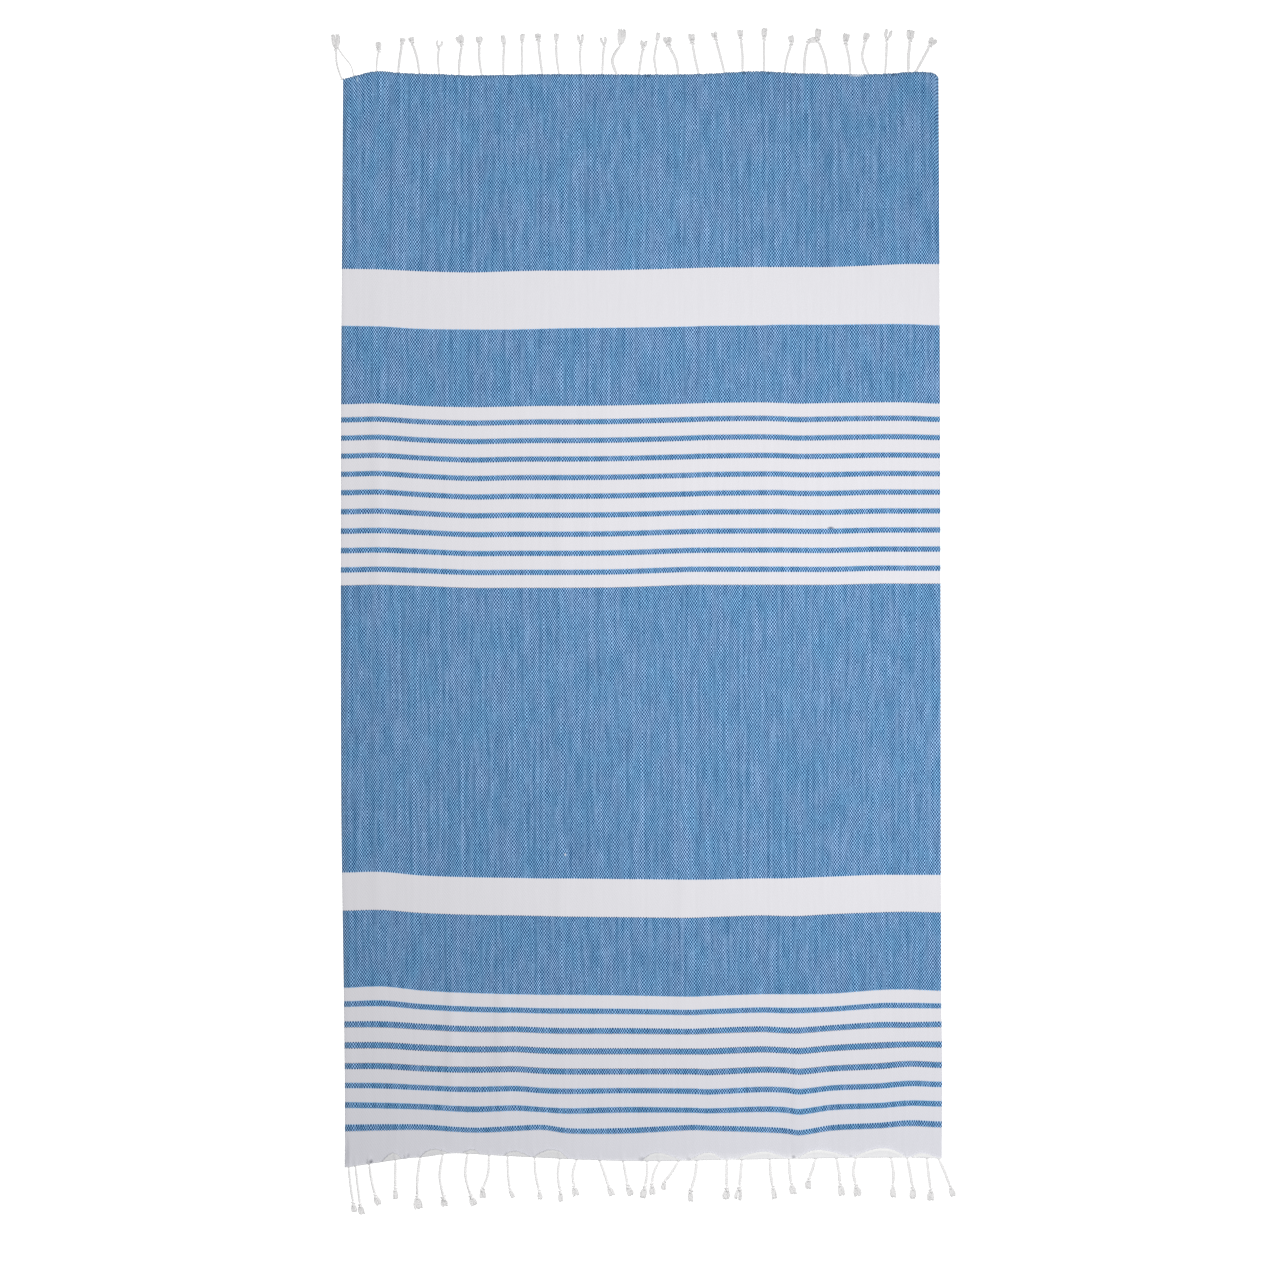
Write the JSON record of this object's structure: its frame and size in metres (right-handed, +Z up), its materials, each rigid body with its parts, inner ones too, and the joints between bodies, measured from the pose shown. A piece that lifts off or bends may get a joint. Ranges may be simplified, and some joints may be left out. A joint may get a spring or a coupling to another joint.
{
  "type": "hammam towel",
  "caption": "Flat-woven cotton hammam towel with woven cross stripes and twisted, knotted fringe strands at both ends, laid out flat.",
  "frame": {"origin": "on the floor under the middle of the towel's outline, fringes included", "axes": "+X across the towel towards its right selvedge, +Y along it towards the head end, which has the widest blue fields, +Z up out of the face of the cloth"},
  "size_m": [1.0401, 1.9819, 0.0084],
  "materials": {
    "striped_cotton": "matt flat-woven cotton in blue and white, with a small diamond twill, white bands and thin cross stripes",
    "undyed_cotton": "matt twisted undyed cotton yarn with frayed ends"
  },
  "bodies": {
    "root": {"cloth": "striped_cotton", "fringe_head": "undyed_cotton", "fringe_foot": "undyed_cotton"}
  },
  "joints": []
}
